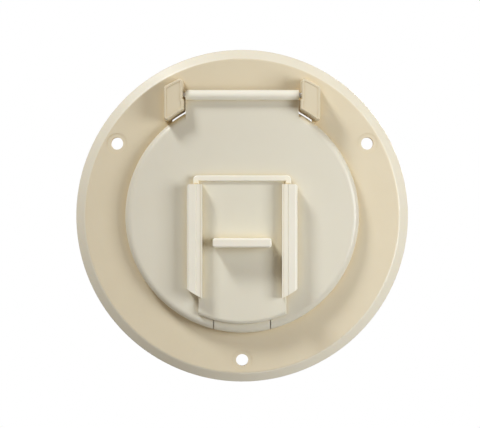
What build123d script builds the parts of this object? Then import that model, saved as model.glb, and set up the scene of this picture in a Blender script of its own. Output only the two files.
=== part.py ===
"""Round electrical cable hatch for a vehicle wall, with a top-hinged door and a cord slide.

Frame: millimetres, +Z up, +X to the right, the front faces -Y. The origin is the centre of the
flange's back face, where it lies on the wall. "Stand" values are distances out from that face.
The hinge axis is parallel to X. The cord slide runs along Z on the front of the door.
"""
import os
from math import hypot, radians, tan

from build123d import *

# Door: a shallow round cap that lies on the flange and closes the aperture
door_radius = 46.1
door_rise = 5.0              # front of the door above the front of the flange
door_wall = 2.2
door_skirt_wall = 2.0
door_edge_round = 2.6
door_seat_gap = 0.2          # skirt to flange
door_overlap = 3.1           # how far the door covers the flange around the aperture
ring_wall = 1.8              # locating ring on the back of the door, inside the aperture
ring_clearance = 1.0
ring_depth = 3.0             # how far the ring enters the aperture
ejector_circle = 31.0        # round ejector marks on the back of the door
ejector_radius = 2.5
ejector_depth = 0.15

# Flange: a thin round plate with a sloping rim, hollow at the back for the gasket
flange_border = 19.9         # flange seen around the door
flange_height = 4.0
flange_wall = 2.4
bevel_width = 3.7
rim_edge_height = 1.2
rim_foot_width = 2.4         # flat foot of the rim on the wall
screw_count = 3
screw_inset = 8.75           # screw circle inside the flange's edge
screw_hole_radius = 2.45
spot_radius = 4.0
spot_depth = 0.15
boss_wall = 2.0              # boss around each screw hole, from the flange to the wall
bevel_blend = 1.6            # soft change from the flat of the flange to its sloping rim
rim_edge_round = 0.7
bottom_screw_angle = 270.0

# Collar: the tube behind the flange that passes through the wall
collar_wall = 2.6
collar_depth = 28.0
land_width = 2.0             # flat land around the collar, at the wall

# Hinge: barrel on the door, two ears on the flange, one steel pin
barrel_length = 44.4
barrel_radius = 2.02
hinge_rise = 1.25            # hinge axis above the top of the door's circle
hinge_stand = 5.6            # hinge axis above the front of the flange
pin_radius = 1.0
pin_running_gap = 0.06       # pin to barrel, on the radius
pin_recess = 0.6             # pin ends inside the ears' outer faces
pin_chamfer = 0.3
ear_side_gap = 0.3           # foot of the ear to the barrel
ear_door_gap = 1.0           # foot of the ear to the door's circle
ear_width = 8.4              # at the foot
ear_height = 9.9
ear_draft = 2.5              # degrees, on every side
ear_top_margin = 2.7         # ear beyond the pin's outer end, along the radius
ear_corner = 1.5
ear_inner_corner = 1.1       # corner of the foot beside the door and the barrel
ear_edge = 0.3
ear_relief = 0.4             # the inner face steps back from just below the pin upwards
ear_relief_drop = 1.5        # start of the step below the hinge axis
ear_lip = 0.9                # raised border of the ear's front face
ear_dish = 0.2
slot_width = 0.9             # slot through the flange along the foot of the ear, below the pin
slot_reach = 5.2             # end of the slot from the ear's inner side
slot_wall = 1.2              # wall around the slot, from the flange to the wall plane

# Cord slide: a plate with a top lip, a finger bar and a tongue in the door's notch
plate_width = 34.7
plate_thickness = 2.0
plate_end_inset = 3.7        # lower edge of the plate inside the door's edge
plate_end_round = 1.5
plate_side_bevel = 0.4
slide_back_gap = 0.1         # plate to door
slide_front_gap = 0.25       # plate to rail lips
slide_side_gap = 0.5         # plate to rail walls
slide_travel = 28.0
slide_stop_gap = 0.05        # legs to rail tops with the slide down
lip_width = 38.5
lip_thickness = 2.3
lip_rise = 3.5               # top of the lip above the rail tops
lip_leg = 2.3
lip_height = 3.0             # front of the lip above the door
lip_corner = 1.8
lip_round = 0.5
bar_width = 22.9
bar_thickness = 3.6
bar_level = -10.5
bar_reach = 9.5              # front of the bar above the door
bar_round = 0.9
bar_front_round = 0.7
tongue_width = 22.0
tongue_length = 6.5
tongue_gap = 0.35
tongue_corner = 1.5
notch_rib = 1.8              # wall around the notch on the back of the door

# Rails: two channels on the front of the door that hold the slide
rail_wall = 3.7
rail_overlap = 1.8           # lip over the plate
rail_height = 6.5
rail_top = 12.3
rail_end_inset = 10.4        # lower ends of the rails inside the door's edge
rail_corner = 1.1
rail_step = 0.35             # lip front below the wall front
rail_bead = 0.45             # thin bead along the lip's inner edge
rail_bead_height = 0.3

# Gasket: a foam ring in the hollow back of the flange
gasket_gap = 0.4

# Rear cup: plugs into the collar and carries the cord grommet
cup_wall = 2.0
cup_depth = 32.0             # behind the collar
cup_spigot = 10.0            # length inside the collar
cup_fit_gap = 0.15
cup_shoulder = 2.4
cup_shoulder_inset = 1.0     # shoulder inside the collar's outer face
cup_corner = 3.0
snap_count = 3
snap_width = 9.0
snap_height = 3.0
snap_reach = 1.4
snap_gap = 0.3
snap_from_end = 3.2          # window's rear edge to the collar's end
snap_slit = 0.8
snap_slit_length = 7.5

# Grommet: a rubber ring in the back of the cup, sized for a 30 A cord
cord_hole_radius = 9.0
grommet_waist_wall = 5.0
grommet_fit_gap = 0.05
grommet_lip = 2.6            # lip beyond the waist, on the radius
grommet_lip_thickness = 1.8
grommet_round = 0.7
grommet_drop = 16.0          # cord hole below the middle

# Worked-out sizes
flange_radius = door_radius + flange_border
flat_radius = flange_radius - bevel_width
aperture_radius = door_radius - door_overlap
collar_radius = aperture_radius + collar_wall
screw_circle = flange_radius - screw_inset
recess_depth = flange_height - flange_wall
recess_radius = flange_radius - rim_foot_width
land_radius = collar_radius + land_width
boss_radius = screw_hole_radius + boss_wall
door_stand = flange_height + door_rise
door_back = flange_height + door_seat_gap
door_inside = door_stand - door_wall
hinge_level = door_radius + hinge_rise
hinge_out = flange_height + hinge_stand
ear_inner_x = barrel_length / 2 + ear_side_gap
ear_outer_x = ear_inner_x + ear_width
ear_inner_radius = door_radius + ear_door_gap
ear_outer_radius = hypot(ear_outer_x, hinge_level) + ear_top_margin
ear_stand = flange_height + ear_height
relief_level = hinge_level - ear_relief_drop
plate_back = door_stand + slide_back_gap
plate_front = plate_back + plate_thickness
plate_end_radius = door_radius - plate_end_inset
rail_inner_x = plate_width / 2 - rail_overlap
rail_wall_x = plate_width / 2 + slide_side_gap
rail_outer_x = rail_wall_x + rail_wall
rail_lip_back = plate_front + slide_front_gap - door_stand
rail_end_radius = door_radius - rail_end_inset
lip_top = rail_top + lip_rise
tongue_top = -(door_radius - tongue_length)
notch_top = tongue_top + slide_travel + tongue_gap
notch_width = tongue_width + 2 * tongue_gap
cup_radius = aperture_radius - cup_fit_gap
cup_end = collar_depth + cup_depth
grommet_waist = cord_hole_radius + grommet_waist_wall


def facing(stand):
    """Plane parallel to the wall at a stand: local x is +X, local y is +Z, normal is -Y."""
    return Plane(origin=(0, -stand, 0), x_dir=(1, 0, 0), z_dir=(0, -1, 0))


def slab(outline, start, end):
    """Extrude an outline drawn on the wall plane from one stand to another."""
    return extrude(facing(start) * outline, end - start)


def disc(radius, start, end):
    return slab(Circle(radius), start, end)


def tube(outer, inner, start, end):
    return slab(Circle(outer) - Circle(inner), start, end)


def area(x_low, x_high, z_low, z_high):
    """Axis-aligned rectangle on the wall plane."""
    centre = ((x_low + x_high) / 2, (z_low + z_high) / 2)
    return Pos(*centre) * Rectangle(x_high - x_low, z_high - z_low)


def corners_at(sketch, level, tolerance=0.01):
    return [v for v in sketch.vertices() if abs(v.Y - level) < tolerance]


def both_sides(shape):
    return shape + mirror(shape, about=Plane.YZ)


def turned(solid, count, first_angle):
    """Copies of a solid around the hatch's axis, angles counted from +X towards +Z."""
    step = 360 / count
    return [Rot(0, -(first_angle + step * i), 0) * solid for i in range(count)]


def door_blank():
    """The door's outer form: a round slab whose front edge is rounded."""
    blank = disc(door_radius, door_back, door_stand)
    front_edge = blank.faces().sort_by(Axis.Y)[0].edges()
    return fillet(front_edge, door_edge_round)


def flange_plate():
    """Flange with its sloping rim, turned about the hatch's axis, and hollow at the back."""
    profile = Polyline(
        (0, 0),
        (flange_radius, 0),
        (flange_radius, -rim_edge_height),
        (flat_radius, -flange_height),
        (0, -flange_height),
        close=True,
    )
    plate = revolve(make_face(profile), Axis.Y)
    rims = plate.edges().filter_by(GeomType.CIRCLE).sort_by(Axis.Y)
    plate = fillet(rims[0], bevel_blend)
    outer_rim = plate.edges().filter_by(GeomType.CIRCLE).sort_by(SortBy.RADIUS)[-2:].sort_by(Axis.Y)[0]
    plate = fillet(outer_rim, rim_edge_round)
    return plate - tube(recess_radius, land_radius, 0, recess_depth)


def ear_outline():
    """One ear seen from the front: two arcs round the door and two upright sides."""
    sides = area(ear_inner_x, ear_outer_x, 0, ear_outer_radius)
    outline = sides & (Circle(ear_outer_radius) - Circle(ear_inner_radius))
    outline -= area(0, ear_inner_x + ear_relief, relief_level, ear_outer_radius)
    inner_corner = outline.vertices().sort_by(Axis.X)[0:2].sort_by(Axis.Y)[0]
    outline = fillet(inner_corner, ear_inner_corner)
    outer_corners = [v for v in outline.vertices() if abs(v.X - ear_outer_x) < 0.01]
    top_corner = outline.vertices().sort_by(Axis.Y)[-1]
    return fillet(outer_corners + [top_corner], ear_corner)


def slot_outline(grow=0.0):
    """The slot that the mould's core leaves in the flange where it shapes the pin's seat."""
    outline = ear_outline()
    around = offset(outline, slot_width) - outline
    around &= area(0, ear_inner_x + slot_reach, 0, relief_level)
    return offset(around, grow) if grow else around


def ear():
    outline = ear_outline()
    foot = slab(outline, flange_height - flange_wall / 2, flange_height)
    body = extrude(facing(flange_height) * outline, ear_height, taper=ear_draft)
    front = body.faces().sort_by(Axis.Y)[0]
    body = chamfer(front.edges(), ear_edge)
    draft_shift = ear_height * tan(radians(ear_draft))
    dish = offset(outline, -(ear_lip + draft_shift), kind=Kind.INTERSECTION)
    body -= slab(dish, ear_stand - ear_dish, ear_stand + 1)
    return foot + body - hinge_rod(pin_radius, 2 * ear_outer_x)


def hinge_rod(radius, length):
    axis_plane = Plane(origin=(-length / 2, -hinge_out, hinge_level), z_dir=(1, 0, 0))
    return extrude(axis_plane * Circle(radius), length)


def slot_walls():
    return both_sides(slab(slot_outline(slot_wall), 0, flange_height - flange_wall / 2))


def screw_bosses():
    boss = Pos(screw_circle, 0, 0) * disc(boss_radius, 0, flange_height - flange_wall / 2)
    return turned(boss, screw_count, bottom_screw_angle)


def screw_cuts():
    hole = Pos(screw_circle, 0, 0) * disc(screw_hole_radius, -1, flange_height + 1)
    spot = Pos(screw_circle, 0, 0) * disc(spot_radius, flange_height - spot_depth, flange_height + 1)
    return turned(hole + spot, screw_count, bottom_screw_angle)


def snap_windows():
    """Windows through the collar that the cup's snap teeth click into."""
    window = Pos(aperture_radius + collar_wall / 2, collar_depth - snap_from_end - snap_height / 2, 0)
    window *= Box(2 * collar_wall, snap_height, snap_width)
    return turned(window, snap_count, 90)


def make_face_frame():
    frame = flange_plate()
    frame += tube(collar_radius, aperture_radius, -collar_depth, flange_height - flange_wall / 2)
    frame += both_sides(ear())
    frame += slot_walls()
    for boss in screw_bosses():
        frame += boss
    frame -= both_sides(slab(slot_outline(), -1, flange_height))
    frame -= disc(aperture_radius, -collar_depth - 1, flange_height + 1)
    for cut in screw_cuts() + snap_windows():
        frame -= cut
    return frame


def notch_outline(grow=0.0):
    """The cord notch: open at the door's lower edge, with rounded upper corners."""
    half = notch_width / 2 + grow
    top = notch_top + grow
    outline = area(-half, half, -2 * door_radius, top)
    return fillet(corners_at(outline, top), tongue_corner + tongue_gap + grow)


def rail_section():
    """Rail section across its length: x outwards, y out from the door."""
    wall_front = rail_height
    lip_front = rail_height - rail_step
    bead_front = lip_front + rail_bead_height
    line = Polyline(
        (rail_outer_x, -door_wall / 2),
        (rail_outer_x, wall_front),
        (rail_wall_x + rail_step, wall_front),
        (rail_wall_x, lip_front),
        (rail_inner_x + rail_bead, lip_front),
        (rail_inner_x + rail_bead, bead_front),
        (rail_inner_x, bead_front),
        (rail_inner_x, rail_lip_back),
        (rail_wall_x, rail_lip_back),
        (rail_wall_x, -door_wall / 2),
        close=True,
    )
    return make_face(line)


def rail():
    """One rail: its lower end follows the door's edge and its outer edges are rounded."""
    across = Plane(origin=(0, -door_stand, rail_top), x_dir=(1, 0, 0), z_dir=(0, 0, -1))
    bar = extrude(across * rail_section(), door_radius + rail_top)
    bar -= tube(2 * door_radius, rail_end_radius, 0, door_stand + rail_height + 1)
    outer_face = bar.faces().sort_by(Axis.X)[-1]
    front_edge = outer_face.edges().filter_by(Axis.Z).sort_by(Axis.Y)[0]
    top_edge = outer_face.edges().filter_by(Axis.Y).sort_by(Axis.Z)[-1]
    return fillet([front_edge, top_edge], rail_corner)


def ejector_marks():
    """Eight shallow round marks on the back of the door, less the one where the notch is."""
    mark = Pos(ejector_circle, 0, 0) * disc(ejector_radius, door_inside - 1, door_inside + ejector_depth)
    return turned(mark, 8, bottom_screw_angle + 45)[:-1]


def make_door():
    """Door cap with its locating ring, notch walls, hinge leaf, barrel and rails."""
    door = door_blank()
    door -= disc(door_radius - door_skirt_wall, 0, door_inside)
    ring_radius = aperture_radius - ring_clearance
    ring_start = flange_height - ring_depth
    door += tube(ring_radius, ring_radius - ring_wall, ring_start, door_inside + door_wall / 2)
    walls = notch_outline(notch_rib) & Circle(door_radius - door_skirt_wall / 2)
    door += slab(walls, door_back, door_inside + door_wall / 2)
    leaf = area(-barrel_length / 2, barrel_length / 2, door_radius / 2, hinge_level - barrel_radius / 2)
    door += slab(leaf, door_inside, door_stand)
    for mark in ejector_marks():
        door -= mark
    door += hinge_rod(barrel_radius, barrel_length)
    door -= hinge_rod(pin_radius + pin_running_gap, 2 * barrel_length)
    door += both_sides(rail())
    return door - slab(notch_outline(), 0, door_stand + 1)


def finger_bar():
    outline = Pos(0, bar_level) * Rectangle(bar_width, bar_thickness)
    bar = slab(fillet(outline.vertices(), bar_round), plate_front - plate_thickness / 2,
               door_stand + bar_reach)
    return fillet(bar.faces().sort_by(Axis.Y)[0].edges(), bar_front_round)


def top_lip():
    """Raised lip across the top of the slide; its two legs rest on the rail tops."""
    foot = rail_top + slide_stop_gap
    outline = area(-lip_width / 2, lip_width / 2, foot, lip_top)
    outline = fillet(corners_at(outline, lip_top), lip_corner)
    inner = lip_width / 2 - lip_leg
    outline -= area(-inner, inner, foot, lip_top - lip_thickness)
    lip = slab(outline, plate_back, door_stand + lip_height)
    front_edges = lip.faces().sort_by(Axis.Y)[0].edges()
    return fillet(front_edges, lip_round)


def tongue():
    """Plug in the notch that completes the door's edge, and its neck under the plate."""
    outline = area(-tongue_width / 2, tongue_width / 2, -2 * door_radius, tongue_top)
    outline = fillet(corners_at(outline, tongue_top), tongue_corner)
    plug = door_blank() & slab(outline, 0, door_stand + 1)
    neck_radius = plate_end_radius - plate_end_round
    neck = outline & Circle(neck_radius)
    return plug + slab(neck, door_stand - 1, plate_back + plate_thickness / 2)


def make_cord_slide():
    outline = area(-plate_width / 2, plate_width / 2, -door_radius, lip_top - lip_thickness / 2)
    plate = slab(outline & Circle(plate_end_radius), plate_back, plate_front)
    front = plate.faces().sort_by(Axis.Y)[0]
    lower_edge = front.edges().filter_by(GeomType.CIRCLE)
    plate = fillet(lower_edge, plate_end_round)
    side_edges = plate.faces().sort_by(Axis.Y)[0].edges().filter_by(Axis.Z)
    plate = chamfer(side_edges, plate_side_bevel)
    return plate + top_lip() + finger_bar() + tongue()


def make_hinge_pin():
    pin = hinge_rod(pin_radius, 2 * (ear_outer_x - pin_recess))
    return chamfer(pin.edges().filter_by(GeomType.CIRCLE), pin_chamfer)


def make_flange_gasket():
    """Foam ring with room for the collar's land, the screw bosses and the slots' walls."""
    ring = Circle(recess_radius - gasket_gap) - Circle(land_radius + gasket_gap)
    for place in PolarLocations(screw_circle, screw_count, bottom_screw_angle):
        ring -= place * Circle(boss_radius + gasket_gap)
    return slab(ring - both_sides(slot_outline(slot_wall + gasket_gap)), 0, recess_depth)


def snap_tooth():
    """Ramped tooth on the cup's spigot; it sits in a window of the collar with a gap all round."""
    rear = collar_depth - snap_from_end - snap_gap
    front = rear - snap_height + 2 * snap_gap
    root = cup_radius - cup_wall / 2
    ramp = Polyline(
        (root, front), (cup_radius, front), (cup_radius + snap_reach, rear), (root, rear), close=True
    )
    return extrude(make_face(ramp), snap_width / 2 - snap_gap, both=True)


def snap_slits():
    """Two slits beside each tooth let it flex inwards."""
    mouth = collar_depth - cup_spigot
    slit = Pos(cup_radius, mouth, snap_width / 2 + snap_slit)
    slit *= Box(3 * cup_wall, 2 * snap_slit_length, snap_slit)
    pair = slit + mirror(slit, about=Plane.XY)
    return turned(pair, snap_count, 90)


def make_rear_cup():
    """Cup with a spigot inside the collar and a shoulder against the collar's end."""
    mouth = collar_depth - cup_spigot
    shell = disc(cup_radius, -cup_end, -mouth)
    back_edge = shell.faces().sort_by(Axis.Y)[-1].edges()
    shell = fillet(back_edge, cup_corner)
    hollow = disc(cup_radius - cup_wall, -(cup_end - cup_wall), -mouth + 1)
    hollow = fillet(hollow.faces().sort_by(Axis.Y)[-1].edges(), cup_corner - cup_wall / 2)
    shell -= hollow
    shoulder_radius = collar_radius - cup_shoulder_inset
    shoulder_end = collar_depth + cup_shoulder
    shell += tube(shoulder_radius, cup_radius - cup_wall / 2, -shoulder_end, -collar_depth)
    for cut in snap_slits():
        shell -= cut
    for tooth in turned(snap_tooth(), snap_count, 90):
        shell += tooth
    return shell - Pos(0, 0, -grommet_drop) * disc(grommet_waist, -cup_end - 1, -cup_end + cup_wall + 1)


def make_cord_grommet():
    """Rubber ring with a groove that grips the back wall of the cup."""
    inner = cord_hole_radius
    lip = grommet_waist + grommet_lip
    front = cup_end - cup_wall - grommet_lip_thickness
    rear = cup_end + grommet_lip_thickness
    body = tube(lip, inner, -rear, -front)
    body = fillet(body.edges().filter_by(GeomType.CIRCLE), grommet_round)
    groove = tube(lip + 1, grommet_waist - grommet_fit_gap, -cup_end, -(cup_end - cup_wall))
    return Pos(0, 0, -grommet_drop) * (body - groove)


def main():
    os.makedirs("parts", exist_ok=True)
    pieces = {
        "face_frame": make_face_frame(),
        "door": make_door(),
        "cord_slide": make_cord_slide(),
        "hinge_pin": make_hinge_pin(),
        "flange_gasket": make_flange_gasket(),
        "rear_cup": make_rear_cup(),
        "cord_grommet": make_cord_grommet(),
    }
    for name, piece in pieces.items():
        export_step(piece, f"parts/{name}.step")


main()
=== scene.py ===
"""Looks for the round cable hatch: moulded plastic, steel pin, foam and rubber, in soft studio light.

Metres, in the same frame as the CAD: the front faces -Y, +Z is up, and the hinge is at the top.
"""

import math

import bpy
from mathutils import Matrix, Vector


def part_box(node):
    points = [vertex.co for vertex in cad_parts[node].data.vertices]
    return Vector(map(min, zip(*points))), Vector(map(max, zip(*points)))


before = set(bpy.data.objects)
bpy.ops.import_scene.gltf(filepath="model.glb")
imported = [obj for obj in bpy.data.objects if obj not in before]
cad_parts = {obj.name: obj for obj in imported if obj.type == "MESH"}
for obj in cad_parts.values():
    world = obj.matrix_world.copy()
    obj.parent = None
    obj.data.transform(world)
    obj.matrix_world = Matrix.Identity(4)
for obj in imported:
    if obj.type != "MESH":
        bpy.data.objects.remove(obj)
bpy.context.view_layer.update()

MM = 0.001

# Where the painted highlight begins: past the flat of the flange, and proud of the two front faces
RIM_SLOPE = 3.7 * MM
FLAT_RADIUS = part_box("face_frame")[1].x - RIM_SLOPE
FLAT_MARGIN = 0.3 * MM
DOOR_FRONT = 9.0 * MM
PLATE_FRONT = DOOR_FRONT + 2.1 * MM
EDGE_MARGIN = 0.2 * MM
HIGHLIGHT_BLEND = 0.4 * MM

# Moulded plastics: linear colours
FLANGE_BASE = (0.752, 0.672, 0.497, 1)
FLANGE_SHADE = (0.734, 0.650, 0.475, 1)
# Lighter colour for the flange's rim bevel: painted highlight
FLANGE_HIGHLIGHT = (0.83, 0.79, 0.655, 1)
DOOR_BASE = (0.752, 0.722, 0.605, 1)
DOOR_SHADE = (0.738, 0.703, 0.585, 1)
SLIDE_BASE = (0.768, 0.737, 0.615, 1)
SLIDE_SHADE = (0.753, 0.722, 0.600, 1)
# Lighter colour for the raised fronts of door and slide: painted highlight
FRONT_HIGHLIGHT = (0.89, 0.86, 0.745, 1)
# Warm tint that darkens corners and crevices: painted shade
CORNER_SHADE_TINT = (1.0, 0.91, 0.75, 1)
CORNER_SHADE_REACH = 5 * MM
PLASTIC_IOR = 1.5
SCATTER_DEPTH = 0.8 * MM
SCATTER_SPREAD = (1.6, 1.2, 0.7)

# Surroundings
FLOOR_LEVEL = -0.30
FLOOR_RADIUS = 1.2
FLOOR_SEEN = (0.86, 0.86, 0.85, 1)
FLOOR_SEEN_SHARE = 0.8
COOL_WHITE = (0.97, 1.0, 1.04)
WARM_FILL = (1.0, 0.74, 0.48, 1)
FILL_STRENGTH = 0.19
WHITE = (1, 1, 1, 1)
WHITE_IN_GLOSS = 0.25

# Camera: level, straight at the front
VIEW_WIDTH = 0.1913
CAMERA_DISTANCE = 0.62
VIEW_CENTRE_X = -0.00084
VIEW_CENTRE_Z = 0.00068
SENSOR_WIDTH = 36.0


class Nodes:
    """Adds and joins the nodes of one tree, which starts empty."""

    def __init__(self, tree):
        self.tree = tree
        self.tree.nodes.clear()

    def add(self, kind, **values):
        node = self.tree.nodes.new(kind)
        for key, value in values.items():
            setattr(node, key, value)
        return node

    def join(self, source, target):
        self.tree.links.new(source, target)


class Graph(Nodes):
    """The nodes of one material, round a Principled shader."""

    def __init__(self, name):
        self.material = bpy.data.materials.new(name)
        self.material.use_nodes = True
        super().__init__(self.material.node_tree)
        self.output = self.add("ShaderNodeOutputMaterial")
        self.shader = self.add("ShaderNodeBsdfPrincipled")
        self.join(self.shader.outputs["BSDF"], self.output.inputs["Surface"])
        self.place = self.add("ShaderNodeTexCoord").outputs["Object"]

    def noise(self, size, detail=3.0, roughness=0.55):
        """Noise whose blobs are about this size, in metres."""
        node = self.add("ShaderNodeTexNoise")
        node.inputs["Scale"].default_value = 1.0 / size
        node.inputs["Detail"].default_value = detail
        node.inputs["Roughness"].default_value = roughness
        self.join(self.place, node.inputs["Vector"])
        return node.outputs["Fac"]

    def times(self, source, factor):
        node = self.add("ShaderNodeMath", operation="MULTIPLY")
        node.inputs[1].default_value = factor
        self.join(source, node.inputs[0])
        return node.outputs[0]

    def stand(self):
        """Distance out from the wall plane, in metres."""
        parts = self.add("ShaderNodeSeparateXYZ")
        self.join(self.place, parts.inputs[0])
        return self.times(parts.outputs["Y"], -1.0)

    def radius(self):
        """Distance from the hatch's axis, in metres."""
        across = self.add("ShaderNodeVectorMath", operation="MULTIPLY")
        across.inputs[1].default_value = (1, 0, 1)
        self.join(self.place, across.inputs[0])
        length = self.add("ShaderNodeVectorMath", operation="LENGTH")
        self.join(across.outputs[0], length.inputs[0])
        return length.outputs["Value"]

    def ranged(self, source, low, high, from_low=0.3, from_high=0.7):
        """Maps from_low..from_high, by default the middle of a noise, to low..high."""
        node = self.add("ShaderNodeMapRange")
        node.inputs["From Min"].default_value = from_low
        node.inputs["From Max"].default_value = from_high
        node.inputs["To Min"].default_value = low
        node.inputs["To Max"].default_value = high
        self.join(source, node.inputs["Value"])
        return node.outputs["Result"]

    def mixed(self, factor, first, second, blend="MIX"):
        """Blends the second colour over the first; each is a colour or a socket."""
        node = self.add("ShaderNodeMix", data_type="RGBA", blend_type=blend)
        colour_inputs = [s for s in node.inputs if s.type == "RGBA"]
        self.join(factor, node.inputs[0])
        for socket, value in zip(colour_inputs, (first, second)):
            if isinstance(value, tuple):
                socket.default_value = value
            else:
                self.join(value, socket)
        return next(s for s in node.outputs if s.type == "RGBA")

    def bump(self, height, strength, distance):
        node = self.add("ShaderNodeBump")
        node.inputs["Strength"].default_value = strength
        node.inputs["Distance"].default_value = distance
        self.join(height, node.inputs["Height"])
        return node.outputs["Normal"]


def moulded_plastic(name, base, shade, roughness, highlight, measure, highlight_from):
    """Satin moulded plastic: faint flow mottling, a fine moulded grain and slightly uneven gloss.

    Ambient occlusion tints the corners darker and warmer: painted shade. Past highlight_from,
    measured out from the wall (Graph.stand) or from the hatch's axis (Graph.radius), the colour is
    lighter: a painted highlight.
    """
    g = Graph(name)
    flow = g.ranged(g.noise(18 * MM, 4.0), 0.0, 1.0)
    # Painted highlight: the colour turns lighter past the given distance
    past = g.ranged(measure(g), 0.0, 1.0, highlight_from, highlight_from + HIGHLIGHT_BLEND)
    highlight_mix = g.mixed(g.times(flow, 0.2), highlight, base)
    colour = g.mixed(past, g.mixed(flow, base, shade), highlight_mix)
    # Painted shade: ambient occlusion darkens and warms the corners
    corners = g.add("ShaderNodeAmbientOcclusion", samples=8)
    corners.inputs["Distance"].default_value = CORNER_SHADE_REACH
    corner_shade = g.ranged(corners.outputs["AO"], 1.0, 0.0, 0.25, 0.85)
    g.join(g.mixed(corner_shade, colour, CORNER_SHADE_TINT, "MULTIPLY"), g.shader.inputs["Base Color"])
    uneven = g.ranged(g.noise(6 * MM), roughness - 0.05, roughness + 0.06)
    g.join(uneven, g.shader.inputs["Roughness"])
    g.join(g.bump(g.noise(0.35 * MM, 2.0), 0.05, 0.05 * MM), g.shader.inputs["Normal"])
    g.shader.inputs["IOR"].default_value = PLASTIC_IOR
    g.shader.inputs["Subsurface Weight"].default_value = 0.1
    g.shader.inputs["Subsurface Radius"].default_value = SCATTER_SPREAD
    g.shader.inputs["Subsurface Scale"].default_value = SCATTER_DEPTH
    return g.material


def drawn_steel(name):
    """Bare drawn rod, uneven in tone and gloss."""
    g = Graph(name)
    g.shader.inputs["Metallic"].default_value = 1.0
    g.join(g.mixed(g.noise(2 * MM), (0.55, 0.55, 0.54, 1), (0.66, 0.66, 0.65, 1)),
           g.shader.inputs["Base Color"])
    g.join(g.ranged(g.noise(0.4 * MM), 0.22, 0.38), g.shader.inputs["Roughness"])
    return g.material


def foam(name):
    """Closed-cell foam: small pits over the whole surface."""
    g = Graph(name)
    cells = g.add("ShaderNodeTexVoronoi")
    cells.inputs["Scale"].default_value = 1 / (0.5 * MM)
    g.join(g.place, cells.inputs["Vector"])
    g.join(g.mixed(cells.outputs["Distance"], (0.028, 0.028, 0.030, 1), (0.055, 0.055, 0.057, 1)),
           g.shader.inputs["Base Color"])
    g.shader.inputs["Roughness"].default_value = 0.9
    g.join(g.bump(cells.outputs["Distance"], 0.6, 0.2 * MM), g.shader.inputs["Normal"])
    return g.material


def soft_rubber(name):
    """Black rubber with a fine grain."""
    g = Graph(name)
    g.join(g.mixed(g.noise(4 * MM), (0.020, 0.020, 0.021, 1), (0.034, 0.034, 0.035, 1)),
           g.shader.inputs["Base Color"])
    g.join(g.ranged(g.noise(1.5 * MM), 0.55, 0.72), g.shader.inputs["Roughness"])
    g.join(g.bump(g.noise(0.25 * MM, 2.0), 0.15, 0.1 * MM), g.shader.inputs["Normal"])
    return g.material


def dress(node, material):
    """Puts the material in every slot of a CAD node, or in a new slot if it has none."""
    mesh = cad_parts[node].data
    for index in range(len(mesh.materials)):
        mesh.materials[index] = material
    if not mesh.materials:
        mesh.materials.append(material)


def add_materials():
    flange = moulded_plastic("flange_plastic", FLANGE_BASE, FLANGE_SHADE, 0.38,
                             FLANGE_HIGHLIGHT, Graph.radius, FLAT_RADIUS - FLAT_MARGIN)
    door = moulded_plastic("door_plastic", DOOR_BASE, DOOR_SHADE, 0.34,
                           FRONT_HIGHLIGHT, Graph.stand, DOOR_FRONT + EDGE_MARGIN)
    slide = moulded_plastic("slide_plastic", SLIDE_BASE, SLIDE_SHADE, 0.34,
                            FRONT_HIGHLIGHT, Graph.stand, PLATE_FRONT + EDGE_MARGIN)
    dress("face_frame", flange)
    dress("rear_cup", flange)
    dress("door", door)
    dress("cord_slide", slide)
    dress("hinge_pin", drawn_steel("pin_steel"))
    dress("flange_gasket", foam("gasket_foam"))
    dress("cord_grommet", soft_rubber("grommet_rubber"))


def add_floor():
    """Pale floor, low and small enough to stay out of the front view.

    The camera sees it paler than the light that it throws back on the hatch.
    """
    bpy.ops.mesh.primitive_circle_add(
        vertices=96, radius=FLOOR_RADIUS, fill_type="NGON", location=(0, 0, FLOOR_LEVEL))
    floor = bpy.context.object
    floor.name = "floor"
    g = Graph("floor_paint")
    g.join(g.mixed(g.noise(0.2), (0.40, 0.40, 0.395, 1), (0.44, 0.44, 0.435, 1)),
           g.shader.inputs["Base Color"])
    g.shader.inputs["Roughness"].default_value = 0.8
    glow = g.add("ShaderNodeEmission")
    glow.inputs["Color"].default_value = FLOOR_SEEN
    share = g.times(g.add("ShaderNodeLightPath").outputs["Is Camera Ray"], FLOOR_SEEN_SHARE)
    paint = g.add("ShaderNodeMixShader")
    g.join(share, paint.inputs[0])
    g.join(g.shader.outputs["BSDF"], paint.inputs[1])
    g.join(glow.outputs[0], paint.inputs[2])
    g.join(paint.outputs[0], g.output.inputs["Surface"])
    floor.data.materials.append(g.material)


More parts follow.
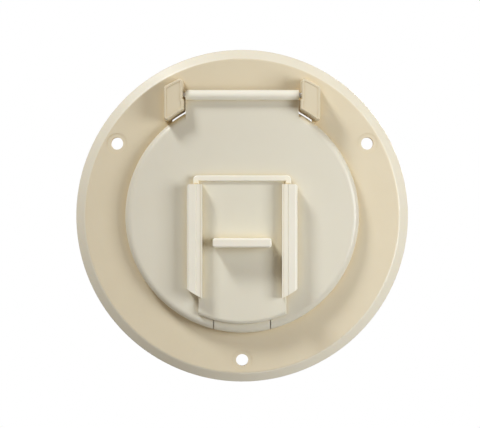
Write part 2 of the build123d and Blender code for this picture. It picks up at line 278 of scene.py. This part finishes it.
def add_light(name, towards, distance, size, power, colour=WHITE[:3]):
    """Square soft light that stands in a direction from the hatch and faces it."""
    data = bpy.data.lights.new(name, "AREA")
    data.size = size
    data.energy = power
    data.color = colour
    light = bpy.data.objects.new(name, data)
    direction = Vector(towards).normalized()
    light.location = direction * distance
    light.rotation_euler = direction.to_track_quat("Z", "Y").to_euler()
    bpy.context.scene.collection.objects.link(light)


def add_world():
    """White surroundings for the camera, partly white in gloss, and a dim warm fill for the rest."""
    world = bpy.data.worlds.new("studio")
    bpy.context.scene.world = world
    world.use_nodes = True
    w = Nodes(world.node_tree)
    output = w.add("ShaderNodeOutputWorld")
    sky = w.add("ShaderNodeMixShader")
    fill = w.add("ShaderNodeBackground")
    fill.inputs["Color"].default_value = WARM_FILL
    fill.inputs["Strength"].default_value = FILL_STRENGTH
    white = w.add("ShaderNodeBackground")
    white.inputs["Color"].default_value = WHITE
    path = w.add("ShaderNodeLightPath")
    share = w.add("ShaderNodeMath", operation="MULTIPLY_ADD")
    w.join(path.outputs["Is Glossy Ray"], share.inputs[0])
    share.inputs[1].default_value = WHITE_IN_GLOSS
    w.join(path.outputs["Is Camera Ray"], share.inputs[2])
    w.join(share.outputs[0], sky.inputs[0])
    w.join(fill.outputs[0], sky.inputs[1])
    w.join(white.outputs[0], sky.inputs[2])
    w.join(sky.outputs[0], output.inputs["Surface"])


def add_camera():
    """Camera that looks level at the front and takes in VIEW_WIDTH at the wall plane."""
    data = bpy.data.cameras.new("camera")
    data.sensor_fit = "HORIZONTAL"
    data.sensor_width = SENSOR_WIDTH
    data.lens = SENSOR_WIDTH * CAMERA_DISTANCE / VIEW_WIDTH
    camera = bpy.data.objects.new("camera", data)
    camera.location = (VIEW_CENTRE_X, -CAMERA_DISTANCE, VIEW_CENTRE_Z)
    camera.rotation_euler = (math.radians(90), 0, 0)
    bpy.context.scene.collection.objects.link(camera)
    bpy.context.scene.camera = camera


add_materials()
add_floor()
add_light("key", towards=(-1.15, -1.0, 1.9), distance=1.5, size=0.30, power=16.1, colour=COOL_WHITE)
add_light("side", towards=(1.15, -1.0, 0.05), distance=0.4, size=0.2, power=0.98, colour=COOL_WHITE)
add_light("back", towards=(0.7, 1.0, 0.5), distance=0.9, size=0.4, power=6.0)
add_world()
add_camera()
bpy.context.scene.view_settings.view_transform = "Standard"
